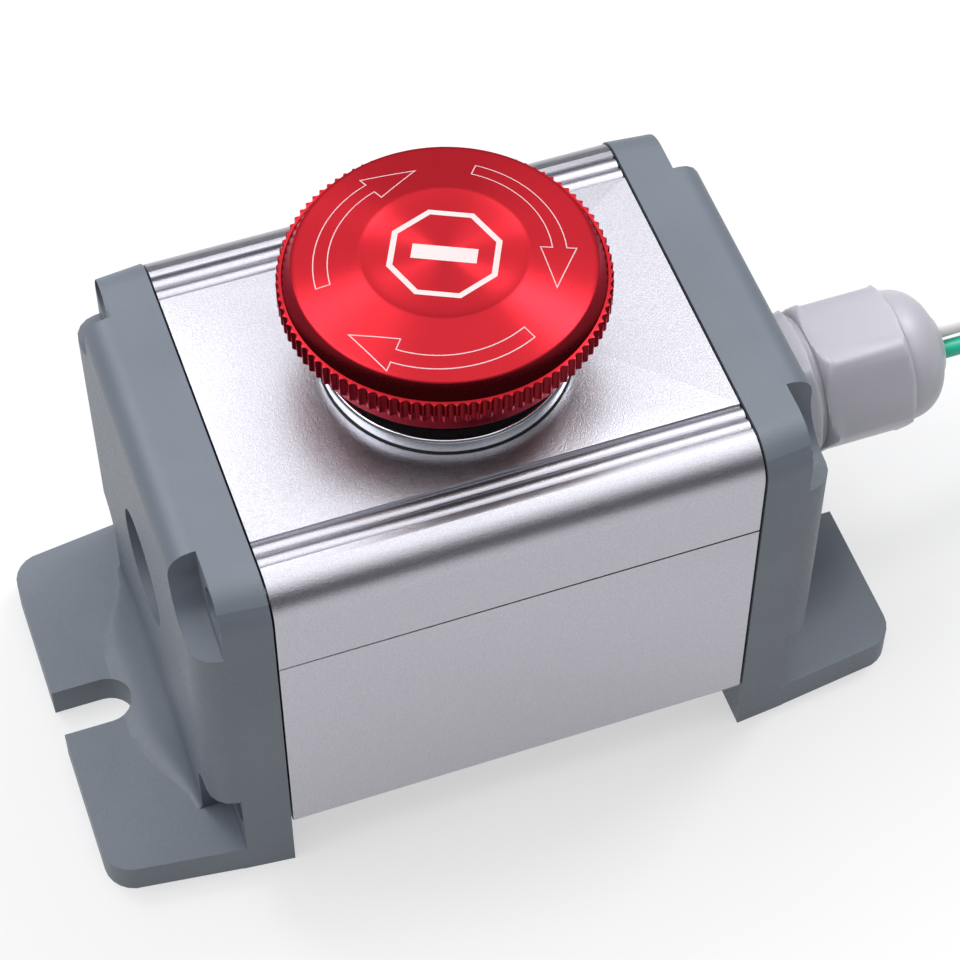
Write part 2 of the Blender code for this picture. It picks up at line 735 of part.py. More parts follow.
def make_contact_block():
    """A normally closed contact: pushing the plunger drives the bridge off its fixed contacts."""
    outer = rectangle((-BLOCK_HALF_X, -BLOCK_HALF_Y), (BLOCK_HALF_X, BLOCK_HALF_Y))
    housing = place(
        "contact_block_housing",
        add_prism(bmesh.new(), outer, BLOCK_BOTTOM, BLOCK_TOP, "Z"),
        "contact_housing",
    )
    inside_x = BLOCK_HALF_X - BLOCK_WALL
    inside_y = BLOCK_HALF_Y - BLOCK_WALL
    floor = BLOCK_BOTTOM + 2.0
    ledge = TERMINAL_Y - 1.4
    deep = rectangle((-inside_x, -ledge), (inside_x, ledge))
    cut(housing, add_prism(bmesh.new(), deep, floor, BLOCK_TOP + 1, "Z"))
    wide = rectangle((-inside_x, -inside_y), (inside_x, inside_y))
    cut(housing, add_prism(bmesh.new(), wide, BRIDGE_TOP, BLOCK_TOP + 2, "Z"))
    openings = bmesh.new()
    for side in (-1, 1):
        window = rectangle((side * TERMINAL_Y - 1.8, 24.0), (side * TERMINAL_Y + 1.8, BLOCK_TOP + 3))
        add_prism(openings, window, inside_x - 1, BLOCK_HALF_X + 1)
        hole = (0, side * TERMINAL_CENTRE)
        add_cylinder(openings, hole, 1.5, 17.0, BRIDGE_TOP + 1, "Z", 12)
    cut(housing, openings)
    posts = bmesh.new()
    for x in (-POST_X, POST_X):
        for y in (-POST_Y, POST_Y):
            post = rectangle((x - 1.6, y - 1.7), (x + 1.6, y + 1.7))
            add_prism(posts, post, BLOCK_TOP - 1, COLLAR_BASE - GAP, "Z")
    fuse(housing, posts)
    cover_bottom = BLOCK_TOP + GAP
    lid = rectangle((-BLOCK_HALF_X, -9.0), (BLOCK_HALF_X, 9.0))
    cover_body = add_prism(bmesh.new(), lid, cover_bottom, cover_bottom + COVER_THICKNESS, "Z")
    cover = place("contact_block_cover", cover_body, "black_plastic")
    cut(cover, add_cylinder(bmesh.new(), (0, 0), 3.0, BLOCK_TOP - 1, BLOCK_TOP + 3, "Z", 20))
    make_bridge(floor)
    for side, end in ((-1, "front"), (1, "back")):
        make_terminal(side, end)


def make_bridge(floor):
    """The plunger, the bridge that it carries and the spring that holds them up."""
    rod = 2.6
    pin = 1.3
    shoulder = BRIDGE_TOP + GAP
    plunger = [
        (0, 20.0),
        (pin, 20.0),
        (pin, shoulder),
        (rod + 1.0, shoulder),
        (rod + 1.0, shoulder + 1.1),
        (rod, shoulder + 1.5),
        (rod, STEM_BOTTOM - GAP),
        (0, STEM_BOTTOM - GAP),
    ]
    turned("contact_plunger", "white_nylon", plunger, 20)
    square = rectangle((-2.6, -9.6), (2.6, 9.6))
    strip = add_prism(bmesh.new(), square, BRIDGE_BOTTOM, BRIDGE_TOP, "Z")
    bridge = place("moving_bridge", strip, "brass")
    hole = add_cylinder(bmesh.new(), (0, 0), pin + 0.4, BRIDGE_BOTTOM - 1, BRIDGE_TOP + 1, "Z", 16)
    cut(bridge, hole)
    coils = helix(2.6, floor + 0.6, BRIDGE_BOTTOM - 0.6, 4.0)
    tube("contact_spring", "steel", coils, 0.25, 1)


def make_terminal(side, end):
    """A fixed contact with its clamp and screw, at one end of the block."""
    centre = side * TERMINAL_CENTRE
    bottom = BRIDGE_TOP + GAP
    clamp_bottom = bottom + 0.8 + GAP
    clamp_top = clamp_bottom + 0.6
    hole = add_cylinder(bmesh.new(), (0, centre), 1.4, bottom - 1, clamp_bottom - 0.1, "Z", 12)
    strip_reach = sorted((side * 5.2, side * 13.6))
    strip = rectangle((-2.4, strip_reach[0]), (2.4, strip_reach[1]))
    strip_body = add_prism(bmesh.new(), strip, bottom, bottom + 0.8, "Z")
    contact = place(f"{end}_fixed_contact", strip_body, "brass")
    cut(contact, hole)
    plate = rectangle((-2.2, centre - 1.6), (2.2, centre + 1.6))
    plate_body = add_prism(bmesh.new(), plate, clamp_bottom, clamp_top, "Z")
    clamp = place(f"{end}_terminal_clamp", plate_body, "steel")
    cut(clamp, add_cylinder(bmesh.new(), (0, centre), 1.4, bottom, clamp_top + 1, "Z", 12))
    head = clamp_top + GAP
    screw = [
        (0, 18.0),
        (1.0, 18.0),
        (1.0, head),
        (1.55, head),
        (1.55, head + 1.4),
        (0.6, head + 1.6),
        (0.5, head + 0.9),
        (0, head + 0.9),
    ]
    turned(f"{end}_terminal_screw", "steel", screw, 12, "Z", (0, centre))


# ---------------------------------------------------------------- cable gland


def make_gland():
    """The gland's body and dome nut, its seal, and what holds it in the cap's hole."""
    centre = (0, GLAND_Z)
    near, far = GLAND_FLANGE
    eased = GLAND_FLAT + 0.5
    body = [
        (GLAND_BORE, GLAND_THREAD_START),
        (GLAND_THREAD_RADIUS, GLAND_THREAD_START),
        (GLAND_THREAD_RADIUS, near),
        (GLAND_FLAT, near, eased),
        (GLAND_FLAT, near + 0.7, GLAND_CORNER),
        (GLAND_FLAT, far - 0.7, GLAND_CORNER),
        (GLAND_FLAT, far, eased),
        (GLAND_NECK_RADIUS, far),
        (GLAND_NECK_RADIUS, GLAND_NECK_END),
        (GLAND_BORE, GLAND_NECK_END),
    ]
    turned("gland_body", "white_nylon", body, 36, "X", centre)
    washer = tube_profile(7.8, 9.3, CAP_FACE + GAP, near - GAP)
    turned("gland_washer", "rubber", washer, 32, "X", centre)
    bore = GLAND_THREAD_RADIUS + GAP
    lock_start = GLAND_THREAD_START + 1.0
    lock_end = CAP_START + CAP_POCKET_DEPTH - GAP
    lock_nut = [
        (bore, lock_start),
        (GLAND_FLAT, lock_start, GLAND_CORNER - 0.4),
        (GLAND_FLAT, lock_end, GLAND_CORNER - 0.4),
        (bore, lock_end),
    ]
    turned("gland_lock_nut", "white_nylon", lock_nut, 36, "X", centre)
    seal = [(3.65, 60.0), (7.0, 60.0), (7.0, 61.8), (5.3, 65.2), (3.65, 65.2)]
    turned("gland_seal", "rubber", seal, 28, "X", centre)
    dome = [
        (8.0, NUT_START),
        (GLAND_FLAT, NUT_START, eased),
        (GLAND_FLAT, NUT_START + 0.8, GLAND_CORNER),
        (GLAND_FLAT, DOME_START - 1.0, GLAND_CORNER),
        (GLAND_FLAT, DOME_START - 0.2, GLAND_FLAT + 0.2),
    ]
    dome += dome_curve()
    dome += [
        (OUTLET_RADIUS, DOME_END),
        (OUTLET_RADIUS, DOME_END - 0.8),
        (5.7, 66.2),
        (7.3, 64.0),
        (8.0, 61.5),
    ]
    turned("gland_dome_nut", "white_nylon", dome, 36, "X", centre)


def dome_curve():
    """The dome nut's rounded nose, fuller than an ellipse."""
    curve = []
    for step in range(8):
        angle = math.radians(11.5 * step)
        radius = DOME_RADIUS * math.cos(angle) ** 0.8
        reach = (DOME_END - DOME_START) * math.sin(angle) ** 0.8
        if radius > OUTLET_RADIUS + 0.6:
            curve.append((radius, DOME_START + reach))
    return curve


# ---------------------------------------------------------------- wires


def inner_route(side, height):
    """A wire inside the box, from the gland to its terminal."""
    return [
        (WIRE_JOIN - GAP, side * WIRE_OFFSET, height),
        (44.0, side * WIRE_OFFSET, height),
        (34.0, side * 1.1, height - 0.2),
        (25.0, side * 4.6, 31.0),
        (17.0, side * 9.6, 27.4),
        (10.5, side * TERMINAL_Y, 25.7),
        (3.2, side * TERMINAL_Y, 25.6),
    ]


WHITE_ROUTE = [
    (WIRE_JOIN, WIRE_OFFSET, WHITE_Z),
    (67.0, WIRE_OFFSET, WHITE_Z),
    (76.0, 1.0, 33.8),
    (84.0, 1.4, 31.2),
    (89.5, 1.7, 25.4),
    (92.8, 1.9, 17.6),
    (96.0, 2.1, 9.6),
    (101.0, 2.25, 3.4),
    (107.9, 2.4, WIRE_RADIUS + 0.05),
]

GREEN_ROUTE = [
    (WIRE_JOIN, -WIRE_OFFSET, GREEN_Z),
    (67.0, -WIRE_OFFSET, GREEN_Z),
    (75.0, -1.0, 31.4),
    (82.5, -1.5, 28.8),
    (87.8, -1.8, 23.2),
    (91.0, -2.0, 16.0),
    (94.4, -2.1, 8.6),
    (99.8, -2.25, 3.0),
    (107.9, -2.4, WIRE_RADIUS + 0.05),
]


def make_wires():
    """Both wires: inside the box, down to the surface, and wound up for storage."""
    for colour, side, height, route in (
        ("white", 1, WHITE_Z, WHITE_ROUTE),
        ("green", -1, GREEN_Z, GREEN_ROUTE),
    ):
        finish = f"{colour}_pvc"
        inside = smooth_route(inner_route(side, height), 4)
        tube(f"{colour}_wire_inside", finish, inside, WIRE_RADIUS, 1)
        tube(f"{colour}_lead", finish, smooth_route(route, 4), WIRE_RADIUS)
        make_coil(colour, side)


def make_coil(colour, side):
    """The wound-up length as one ring, with its tie and the crimped wire end beside it."""
    centre = (COIL_X, side * COIL_Y)
    chamfer = 0.8
    ring = [
        (COIL_INNER_RADIUS + chamfer, 0),
        (COIL_OUTER_RADIUS - chamfer, 0),
        (COIL_OUTER_RADIUS, chamfer),
        (COIL_OUTER_RADIUS, COIL_HEIGHT - chamfer),
        (COIL_OUTER_RADIUS - chamfer, COIL_HEIGHT),
        (COIL_INNER_RADIUS + chamfer, COIL_HEIGHT),
        (COIL_INNER_RADIUS, COIL_HEIGHT - chamfer),
        (COIL_INNER_RADIUS, chamfer),
    ]
    turned(f"{colour}_coil", f"{colour}_pvc", ring, 32, "Z", centre)
    near, far = COIL_INNER_RADIUS - GAP, COIL_OUTER_RADIUS + GAP
    top = COIL_HEIGHT + GAP
    foot = 0.1
    band = [(near, foot), (near, top), (far, top), (far, foot)]
    near, far, top = near - TIE_THICKNESS, far + TIE_THICKNESS, top + TIE_THICKNESS
    band += [(far, foot), (far, top), (near, top), (near, foot)]
    band = [(COIL_X + reach, height) for reach, height in band]
    reach = (side * COIL_Y - TIE_WIDTH / 2, side * COIL_Y + TIE_WIDTH / 2)
    place(f"{colour}_coil_tie", add_prism(bmesh.new(), band, *reach, "Y"), "tie_black")
    ferrule = [(0, 0), (1.6, 0), (1.3, 5.0), (0.8, 5.6), (0.8, 12.0), (0, 12.0)]
    ferrule = [(radius, side * (FERRULE_START + reach)) for radius, reach in ferrule]
    turned(f"{colour}_ferrule", "steel", ferrule, 12, "Y", (FERRULE_X, FERRULE_Z))


def main():
    clear_scene()
    make_shells()
    make_end_caps()
    make_cap_screws()
    make_bezel()
    make_operator_body()
    make_panel_fixings()
    make_stem()
    make_head()
    make_contact_block()
    make_gland()
    make_wires()


main()
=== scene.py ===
"""Looks of the emergency stop button: an anodised box, moulded caps and a knurled red head.

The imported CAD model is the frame. Sizes here are in millimetres unless a name says otherwise,
and X, Y and Z are the frame's own: X towards the cable gland, Z up the button's axis.
"""

import json
import math

import bmesh
import bpy
from mathutils import Euler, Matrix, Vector

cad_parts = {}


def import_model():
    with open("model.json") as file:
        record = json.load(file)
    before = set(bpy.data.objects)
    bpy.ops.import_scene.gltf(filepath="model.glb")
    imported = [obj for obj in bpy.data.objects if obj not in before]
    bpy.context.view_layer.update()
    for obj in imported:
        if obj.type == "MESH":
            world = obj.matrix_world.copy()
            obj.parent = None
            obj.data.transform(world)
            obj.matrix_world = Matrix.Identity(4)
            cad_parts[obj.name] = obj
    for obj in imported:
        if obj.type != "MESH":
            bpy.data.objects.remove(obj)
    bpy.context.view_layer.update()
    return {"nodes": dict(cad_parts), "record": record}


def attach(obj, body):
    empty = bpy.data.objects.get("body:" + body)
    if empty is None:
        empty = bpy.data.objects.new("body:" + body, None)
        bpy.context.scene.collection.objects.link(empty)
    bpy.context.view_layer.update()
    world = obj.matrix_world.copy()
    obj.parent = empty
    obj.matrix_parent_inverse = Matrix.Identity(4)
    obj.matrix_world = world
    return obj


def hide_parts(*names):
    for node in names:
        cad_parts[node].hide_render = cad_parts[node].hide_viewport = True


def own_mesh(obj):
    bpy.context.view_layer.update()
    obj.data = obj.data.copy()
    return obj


MM = 0.001

# Camera: it looks at the aim from a distance in mm, with turns in degrees
CAMERA_AIM = (3.33, -3.14, 35.0)
CAMERA_AZIMUTH = -19.45
CAMERA_ELEVATION = 53.61
CAMERA_ROLL = 0.066
CAMERA_DISTANCE = 385.8
CAMERA_LENS = 113.15

# Light: a pale floor that glows like a light table, a dim surround and soft square lights
FLOOR_SIZE_M = 6.0
FLOOR_COLOUR = (0.30, 0.30, 0.305)
FLOOR_GLOW = 0.53
SURROUND_COLOUR = (0.92, 0.92, 1.0)
SURROUND_STRENGTH = 0.13

# Each light's name, direction from the box, distance and size in metres, and brightness
LIGHTS = (
    ("overhead", (0.12, 0.30, 0.95), 1.6, (2.4, 2.2), 1.7),
    ("front", (-0.10, -0.45, 0.89), 1.6, (1.6, 0.9), 1.3),
    ("left", (-0.58, 0.08, 0.81), 1.2, (0.7, 0.7), 3.9),
    ("key_right", (0.50, 0.20, 0.84), 1.1, (0.24, 0.24), 20.0),
    ("key_left", (-0.30, 0.50, 0.81), 1.1, (0.24, 0.24), 13.2),
)

# Red head: radii about the button's axis, and heights above the surface the feet stand on
HEAD_RADIUS = 20.0
HEAD_SEGMENTS = 192
HEAD_CREASE = 40
KNURL_CREASE = 30
HEAD_BOTTOM = 66.2
FLUTES = 96
FLUTE_DEPTH = 0.45
FLUTE_HALF_WIDTH = 0.44
FLUTE_STEPS = 12
KNURL_TOP = 73.7
KNURL_BOTTOM = 70.5
SKIRT_RADIUS = 17.6
SKIRT_BORE = 16.4
STEP_RADIUS = 19.25
STEP_WALL_BOTTOM = 72.9
DISH_RADIUS = 10.0
DISH_FLOOR = 77.12
DISH_EDGE_POWER = 10
CROWN_RADIUS = 18.2
CROWN_RIM = 77.37
CROWN_SLOPE = 0.19
CROWN_WALL_BOTTOM = 75.5
CROWN_UNDERSIDE = 71.9
CEILING = 71.0

# Radii of the rings that make up the head's top, closer together at the dish's steep edge
DISH_RINGS = (0, 2, 4, 6, 7, 8, 8.6, 9, 9.3, 9.5, 9.7, 9.9)
CONE_RINGS = (DISH_RADIUS + 0.05, 10.3, 17.6)

# Marks on the head: each arrow's centre and the angle where it starts, then its outline
MARK_LIFT = 0.03
MARK_STEP = 0.8
ARROWS = ((-0.85, -0.76, -64.0), (-0.26, -0.88, 174.9), (-1.06, 0.06, 53.1))
ARROW_BAND = (13.76, 15.47)
ARROW_HEAD = (12.35, 16.65)
ARROW_POINT = 14.82
ARROW_NECK_SWEEP = 66.3
ARROW_SWEEP = 89.9
ARROW_LINE = 0.13
SYMBOL_TURN = -26.0
SYMBOL_RADIUS = 6.7
SYMBOL_LINE = 0.7
SYMBOL_BAR = (7.8, 2.2)

# Crease angle of the ring, gasket and gland: steeper edges stay sharp
ROUND_CREASE = 50

# Bezel and its gasket
BEZEL_RADIUS = 15.6
BEZEL_RIM_RADIUS = 15.3
BEZEL_BORE = 13.25
BEZEL_BOTTOM = 59.1
BEZEL_TOP = 61.25
BEZEL_LIP = 0.7
BEZEL_SEGMENTS = 160
GASKET_OVERHANG = 0.12
BOX_TOP = 58.9

# Cable gland: radii about its own axis, and places along X from the button's axis
GLAND_Z = 32.2
GLAND_SEGMENTS = 180
GLAND_FLAT = 9.5
GLAND_CORNER = 10.75
GLAND_CUT = GLAND_CORNER + 0.2
GLAND_BORE = 4.9
GLAND_THREAD = 7.4
GLAND_NECK = 7.6
GLAND_INSIDE_END = 30.0
GLAND_OUTSIDE_END = 59.6
GROOVE_RADIUS = 9.2
FLANGE_START = 43.05
FLANGE_FLAT_START = 43.8
FLANGE_FLAT_END = 47.5
GROOVE_START = 48.9
GROOVE_END = 49.7
HEXAGON_SHARPNESS = 18
NUT_BORE = 8.0
NUT_FLAT_START = 51.6
DOME_START = 62.0
DOME_END = 68.5
DOME_RADIUS = 8.9
DOME_POWER = 0.8
DOME_STEPS = 16
DOME_STEP_DEGREES = 5.2
OUTLET_RADIUS = 3.8

# Coil springs inside the box, each with the joint that presses it
SPRING_CREASE = 60
SPRINGS = {"return_spring": "head_push", "contact_spring": "contact_slide"}

# Wires
WIRE_RADIUS = 1.25
WIRE_HEIGHT = 1.35
COIL_X = 118.0
COIL_Y = 18.5
COIL_TURN_RADII = (16.1, 13.6, 11.1)
COIL_TOP_TURNS = 2.25
COIL_STEPS = 24
LEAD_STEPS = 3
LEAD_END = (113.2, 2.4)

# The crimped end's stretch, by distance past the coil's outer turn and its middle, and height
TAIL = ((0.25, 3.0, 3.6), (0.8, 6.0, 2.75), (1.3, 8.9, 1.75))

WHITE_ROUTE = [
    (50.0, 0.9, 33.9),
    (67.0, 0.9, 33.9),
    (76.0, 1.0, 33.8),
    (84.0, 1.4, 31.2),
    (89.5, 1.7, 25.4),
    (92.8, 1.9, 17.6),
    (96.0, 2.1, 9.6),
    (101.0, 2.25, 3.4),
    (107.9, 2.4, 1.3),
]

GREEN_ROUTE = [
    (50.0, -0.9, 31.6),
    (67.0, -0.9, 31.6),
    (75.0, -1.0, 31.4),
    (82.5, -1.5, 28.8),
    (87.8, -1.8, 23.2),
    (91.0, -2.0, 16.0),
    (94.4, -2.1, 8.6),
    (99.8, -2.25, 3.0),
    (107.9, -2.4, 1.3),
]


# ---------------------------------------------------------------- camera and light


def make_camera():
    """A long lens that looks down on the box from the front left."""
    camera = bpy.data.cameras.new("camera")
    camera.lens = CAMERA_LENS
    camera.sensor_width = 36.0
    turn = Euler((math.radians(90 - CAMERA_ELEVATION), 0, math.radians(CAMERA_AZIMUTH))).to_matrix()
    turn = turn @ Euler((0, 0, math.radians(CAMERA_ROLL))).to_matrix()
    stand = bpy.data.objects.new("camera", camera)
    stand.rotation_euler = turn.to_euler()
    stand.location = MM * (Vector(CAMERA_AIM) + turn @ Vector((0, 0, CAMERA_DISTANCE)))
    bpy.context.scene.collection.objects.link(stand)
    bpy.context.scene.camera = stand


def softbox(name, direction, distance_m, size_m, brightness):
    """A square area light that faces the box from a direction."""
    light = bpy.data.lights.new(name, "AREA")
    light.shape = "RECTANGLE"
    light.size, light.size_y = size_m
    light.energy = brightness * math.pi * size_m[0] * size_m[1]
    stand = bpy.data.objects.new(name, light)
    stand.location = Vector(direction).normalized() * distance_m
    stand.rotation_euler = Vector(direction).to_track_quat("Z", "Y").to_euler()
    bpy.context.scene.collection.objects.link(stand)


def make_studio():
    """The pale floor, the surround and the soft lights."""
    world = bpy.data.worlds.new("studio")
    world.use_nodes = True
    background = world.node_tree.nodes["Background"]
    background.inputs["Color"].default_value = (*SURROUND_COLOUR, 1.0)
    background.inputs["Strength"].default_value = SURROUND_STRENGTH
    bpy.context.scene.world = world
    for light in LIGHTS:
        softbox(*light)
    bpy.ops.mesh.primitive_plane_add(size=FLOOR_SIZE_M, location=(0, 0, 0))
    floor = bpy.context.object
    floor.name = "floor"
    paper = plain("floor", FLOOR_COLOUR, roughness=0.9, metallic=0.0)
    shader_of(paper).inputs["Emission Color"].default_value = (1.0, 1.0, 1.0, 1.0)
    shader_of(paper).inputs["Emission Strength"].default_value = FLOOR_GLOW
    floor.data.materials.append(paper)
    bpy.context.scene.view_settings.view_transform = "Standard"


# ---------------------------------------------------------------- materials


def plain(name, colour, roughness, metallic):
    """A Principled material with its colour, roughness and metallic value set on the shader."""
    made = bpy.data.materials.new(name)
    made.use_nodes = True
    shader = made.node_tree.nodes["Principled BSDF"]
    shader.inputs["Base Color"].default_value = (*colour, 1.0)
    shader.inputs["Roughness"].default_value = roughness
    shader.inputs["Metallic"].default_value = metallic
    return made


def node(material, kind, **values):
    """A new node, with its input values set by name."""
    made = material.node_tree.nodes.new(kind)
    for name, value in values.items():
        made.inputs[name.replace("_", " ")].default_value = value
    return made


def join(material, source, target):
    """Links a node's output to another node's input."""
    material.node_tree.links.new(source, target)


def shader_of(material):
    """The material's Principled shader."""
    return material.node_tree.nodes["Principled BSDF"]


def position(material):
    """Each point's place in the frame, in metres."""
    return node(material, "ShaderNodeTexCoord").outputs["Object"]


def grain(material, scale, detail):
    """A noise pattern with about scale features to the metre."""
    made = node(material, "ShaderNodeTexNoise", Scale=scale, Detail=detail)
    join(material, position(material), made.inputs["Vector"])
    return made.outputs["Fac"]


def spread(material, value, low, high):
    """Maps a 0 to 1 value onto a range."""
    made = node(material, "ShaderNodeMapRange")
    made.inputs["From Min"].default_value = 0.3
    made.inputs["From Max"].default_value = 0.7
    made.inputs["To Min"].default_value = low
    made.inputs["To Max"].default_value = high
    join(material, value, made.inputs["Value"])
    return made.outputs["Result"]


def tint(material, value, low, high):
    """Maps a 0 to 1 value onto a range of colours."""
    made = node(material, "ShaderNodeValToRGB")
    made.color_ramp.elements[0].position = 0.3
    made.color_ramp.elements[1].position = 0.7
    made.color_ramp.elements[0].color = (*low, 1.0)
    made.color_ramp.elements[1].color = (*high, 1.0)
    join(material, value, made.inputs["Fac"])
    return made.outputs["Color"]


def bump(material, height, depth_mm, strength):
    """Raises and lowers the surface by a pattern, without changing its shape."""
    made = node(material, "ShaderNodeBump", Strength=strength, Distance=depth_mm * MM)
    join(material, height, made.inputs["Height"])
    join(material, made.outputs["Normal"], shader_of(material).inputs["Normal"])


def blasted_aluminium():
    """Bead-blasted, clear anodised aluminium with a fine sparkle."""
    dark = (0.39, 0.385, 0.43)
    bright = (0.50, 0.495, 0.54)
    made = plain("anodised_aluminium_finish", bright, roughness=0.33, metallic=1.0)
    shader = shader_of(made)
    fine = grain(made, scale=6000.0, detail=1.0)
    join(made, spread(made, fine, low=0.29, high=0.38), shader.inputs["Roughness"])
    join(made, tint(made, fine, dark, bright), shader.inputs["Base Color"])
    bump(made, fine, depth_mm=0.03, strength=0.8)
    return made


def cap_nylon():
    """Blue-grey moulded nylon with a spark-eroded texture and faint mottling."""
    dark = (0.101, 0.120, 0.147)
    bright = (0.116, 0.137, 0.166)
    made = plain("grey_nylon_finish", bright, roughness=0.5, metallic=0.0)
    shader = shader_of(made)
    mottling = grain(made, scale=60.0, detail=3.0)
    join(made, tint(made, mottling, dark, bright), shader.inputs["Base Color"])
    fine = grain(made, scale=3200.0, detail=2.0)
    join(made, spread(made, fine, low=0.42, high=0.58), shader.inputs["Roughness"])
    bump(made, fine, depth_mm=0.03, strength=0.6)
    return made


def turned_red():
    """Red anodised aluminium with the lathe's fine rings, which stretch its highlights."""
    made = plain("red_anodised_finish", (0.43, 0.018, 0.027), roughness=0.36, metallic=1.0)
    shader = shader_of(made)
    shader.inputs["Specular Tint"].default_value = (1.0, 0.35, 0.4, 1.0)
    shader.inputs["Anisotropic"].default_value = 0.9
    shader.inputs["Anisotropic Rotation"].default_value = 0.25
    tangent = node(made, "ShaderNodeTangent")
    tangent.direction_type = "RADIAL"
    tangent.axis = "Z"
    join(made, tangent.outputs["Tangent"], shader.inputs["Tangent"])
    split = node(made, "ShaderNodeSeparateXYZ")
    join(made, position(made), split.inputs["Vector"])
    flat = node(made, "ShaderNodeCombineXYZ")
    join(made, split.outputs["X"], flat.inputs["X"])
    join(made, split.outputs["Y"], flat.inputs["Y"])
    radius = node(made, "ShaderNodeVectorMath")
    radius.operation = "LENGTH"
    join(made, flat.outputs["Vector"], radius.inputs[0])
    rings = node(made, "ShaderNodeTexNoise", Scale=6000.0, Detail=2.0)
    rings.noise_dimensions = "1D"
    join(made, radius.outputs["Value"], rings.inputs["W"])
    join(made, spread(made, rings.outputs["Fac"], low=0.32, high=0.40), shader.inputs["Roughness"])
    bump(made, rings.outputs["Fac"], depth_mm=0.002, strength=0.3)
    return made


def cut_red_painted_shade():
    """The same red where a form tool left it smooth: the step, the flutes and the skirt, with its
    base colour darkened as painted shade.
    """
    # The base colour is darker than the crown's red only as painted shade: it stands in for the shade
    # these parts reflect
    made = machined("red_cut_painted_shade_finish", (0.15, 0.008, 0.012), roughness=0.2)
    shader_of(made).inputs["Specular Tint"].default_value = (1.0, 0.55, 0.6, 1.0)
    return made


def chrome():
    """Satin chrome with faint smears."""
    made = plain("chrome_finish", (0.68, 0.70, 0.74), roughness=0.14, metallic=1.0)
    smear = grain(made, scale=300.0, detail=3.0)
    join(made, spread(made, smear, low=0.12, high=0.18), shader_of(made).inputs["Roughness"])
    return made


def moulded(name, colour, roughness, texture_scale=2600.0, depth_mm=0.01):
    """Moulded plastic with a slight unevenness of colour and gloss."""
    made = plain(name, colour, roughness, metallic=0.0)
    shader = shader_of(made)
    mottling = grain(made, scale=90.0, detail=2.0)
    dim = tuple(0.93 * part for part in colour)
    join(made, tint(made, mottling, dim, colour), shader.inputs["Base Color"])
    fine = grain(made, texture_scale, detail=2.0)
    join(made, spread(made, fine, roughness - 0.05, roughness + 0.05), shader.inputs["Roughness"])
    bump(made, fine, depth_mm, strength=0.4)
    return made


def machined(name, colour, roughness):
    """Plated or plain metal with a fine directionless grain."""
    made = plain(name, colour, roughness, metallic=1.0)
    fine = grain(made, scale=4000.0, detail=2.0)
    uneven = spread(made, fine, roughness - 0.06, roughness + 0.08)
    join(made, uneven, shader_of(made).inputs["Roughness"])
    bump(made, fine, depth_mm=0.006, strength=0.4)
    return made


def gland_nylon():
    """White nylon, which lets a little light into its surface."""
    made = moulded("white_nylon_finish", (0.39, 0.385, 0.43), 0.38, 1800.0, 0.006)
    shader = shader_of(made)
    shader.inputs["Subsurface Weight"].default_value = 0.6
    shader.inputs["Subsurface Radius"].default_value = (0.003, 0.003, 0.003)
    shader.inputs["Subsurface Scale"].default_value = 1.0
    return made


def make_finishes():
    """The material for each of the record's slots, and for the head's other finishes."""
    return {
        "anodised_aluminium": blasted_aluminium(),
        "grey_nylon": cap_nylon(),
        "red_anodised": turned_red(),
        "chrome": chrome(),
        "black_plastic": moulded("black_plastic_finish", (0.018, 0.018, 0.020), 0.42),
        "white_nylon": gland_nylon(),
        "rubber": moulded("rubber_finish", (0.022, 0.024, 0.030), 0.7, 3000.0, 0.02),
        "steel": machined("steel_finish", (0.55, 0.55, 0.57), 0.3),
        "brass": machined("brass_finish", (0.72, 0.55, 0.25), 0.3),
        "contact_housing": moulded("contact_housing_finish", (0.50, 0.06, 0.05), 0.45),
        "white_pvc": moulded("white_pvc_finish", (0.70, 0.70, 0.68), 0.4, 1200.0, 0.008),
        "green_pvc": moulded("green_pvc_finish", (0.01, 0.42, 0.27), 0.4, 1200.0, 0.008),
        "tie_black": moulded("tie_black_finish", (0.03, 0.03, 0.03), 0.45),
        # The cut red's darker base colour is painted shade
        "red_cut_painted_shade": cut_red_painted_shade(),
        "marks": moulded("marks_finish", (0.62, 0.50, 0.50), 0.5, 5000.0, 0.004),
        "fine_marks": moulded("fine_marks_finish", (0.62, 0.40, 0.42), 0.5, 5000.0, 0.004),
    }


# ---------------------------------------------------------------- mesh helpers


def place(name, bm, body, slot, finishes, smooth_angle=35, replaces=()):
    """A piece from a bmesh in millimetres, riding on a body, in a slot's finish."""
    bmesh.ops.scale(bm, vec=(MM, MM, MM), verts=bm.verts)
    bmesh.ops.recalc_face_normals(bm, faces=bm.faces)
    mesh = bpy.data.meshes.new(name)
    bm.to_mesh(mesh)
    bm.free()
    mesh.shade_smooth()
    mesh.set_sharp_from_angle(angle=math.radians(smooth_angle))
    mesh.materials.append(finishes[slot])
    made = bpy.data.objects.new(name, mesh)
    bpy.context.scene.collection.objects.link(made)
    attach(made, body)
    if replaces:
        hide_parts(*replaces)
    return made


def turned(profile, segments, along="Z", centre=(0.0, 0.0), reach=None):
    """A closed profile of (radius, height) turned about an axis through centre.

    reach(radius, height, angle) may move a point in or out, as on a hexagon or a knurl.
    """
    bm = bmesh.new()
    rings = []
    for radius, height in profile:
        ring = []
        for i in range(1 if radius == 0 else segments):
            angle = math.tau * i / segments
            out = reach(radius, height, angle) if reach else radius
            first = centre[0] + out * math.cos(angle)
            second = centre[1] + out * math.sin(angle)
            spot = (height, first, second) if along == "X" else (first, second, height)
            ring.append(bm.verts.new(spot))
        rings.append(ring)
    for near, far in zip(rings, rings[1:] + rings[:1]):
        for i in range(segments):
            j = (i + 1) % segments
            corners = [near[i % len(near)], near[j % len(near)], far[j % len(far)], far[i % len(far)]]
            corners = list(dict.fromkeys(corners))
            if len(corners) > 2:
                bm.faces.new(corners)
    return bm


